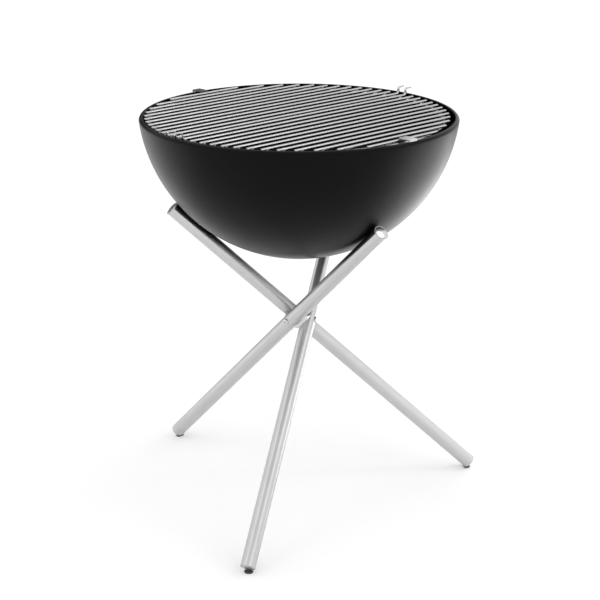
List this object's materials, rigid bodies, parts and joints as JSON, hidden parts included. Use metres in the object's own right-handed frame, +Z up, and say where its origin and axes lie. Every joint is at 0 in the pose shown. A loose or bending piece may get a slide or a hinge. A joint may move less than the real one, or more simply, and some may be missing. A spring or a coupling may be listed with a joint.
{
  "type": "fire bowl grill on a tripod",
  "caption": "Black steel fire bowl with a lift-off rod grate, cradled on a tripod of crossed stainless tubes.",
  "frame": {"origin": "middle of the bounding box's underside, on the floor under the feet", "axes": "+Z up along the bowl's axis; -Y is the front, with the nearest foot to its left"},
  "size_m": [0.6324, 0.6344, 0.746],
  "materials": {
    "black_enamel": "satin black enamel on pressed steel",
    "brushed_stainless": "fine brushed stainless steel",
    "polished_stainless": "bright drawn stainless steel",
    "black_rubber": "matte"
  },
  "bodies": {
    "tripod": {"leg_hub": "brushed_stainless", "leg_tube_1": "brushed_stainless", "leg_tube_2": "brushed_stainless", "leg_tube_3": "brushed_stainless", "leg_end_cap_1": "polished_stainless", "leg_end_cap_2": "polished_stainless", "leg_end_cap_3": "polished_stainless", "leg_base_cap_1": "polished_stainless", "leg_base_cap_2": "polished_stainless", "leg_base_cap_3": "polished_stainless", "leg_foot_1": "black_rubber", "leg_foot_2": "black_rubber", "leg_foot_3": "black_rubber", "leg_screw_1": "polished_stainless", "leg_screw_2": "polished_stainless", "leg_screw_3": "polished_stainless"},
    "bowl": {"bowl": "black_enamel"},
    "grate": {"grate_hoop": "polished_stainless", "grate_hooked_rod_left": "polished_stainless", "grate_hooked_rod_right": "polished_stainless", "grate_rod_left_01": "polished_stainless", "grate_rod_left_02": "polished_stainless", "grate_rod_left_03": "polished_stainless", "grate_rod_left_04": "polished_stainless", "grate_rod_left_05": "polished_stainless", "grate_rod_left_06": "polished_stainless", "grate_rod_left_07": "polished_stainless", "grate_rod_left_08": "polished_stainless", "grate_rod_left_09": "polished_stainless", "grate_rod_left_10": "polished_stainless", "grate_rod_left_11": "polished_stainless", "grate_rod_left_12": "polished_stainless", "grate_rod_right_01": "polished_stainless", "grate_rod_right_02": "polished_stainless", "grate_rod_right_03": "polished_stainless", "grate_rod_right_04": "polished_stainless", "grate_rod_right_05": "polished_stainless", "grate_rod_right_06": "polished_stainless", "grate_rod_right_07": "polished_stainless", "grate_rod_right_08": "polished_stainless", "grate_rod_right_09": "polished_stainless", "grate_rod_right_10": "polished_stainless", "grate_rod_right_11": "polished_stainless", "grate_rod_right_12": "polished_stainless", "grate_tab_left": "brushed_stainless", "grate_tab_right": "brushed_stainless"}
  },
  "joints": [
    {"name": "bowl_tilt", "type": "hinge", "parent": "tripod", "child": "bowl", "pos_m": [-0.0315, 0.03247, 0.76315], "axis": [1, 0, 0], "range_deg": [-15, 15]},
    {"name": "grate_lift", "type": "slide", "parent": "bowl", "child": "grate", "axis": [0, 0, 1], "range_m": [0, 0.15]}
  ]
}
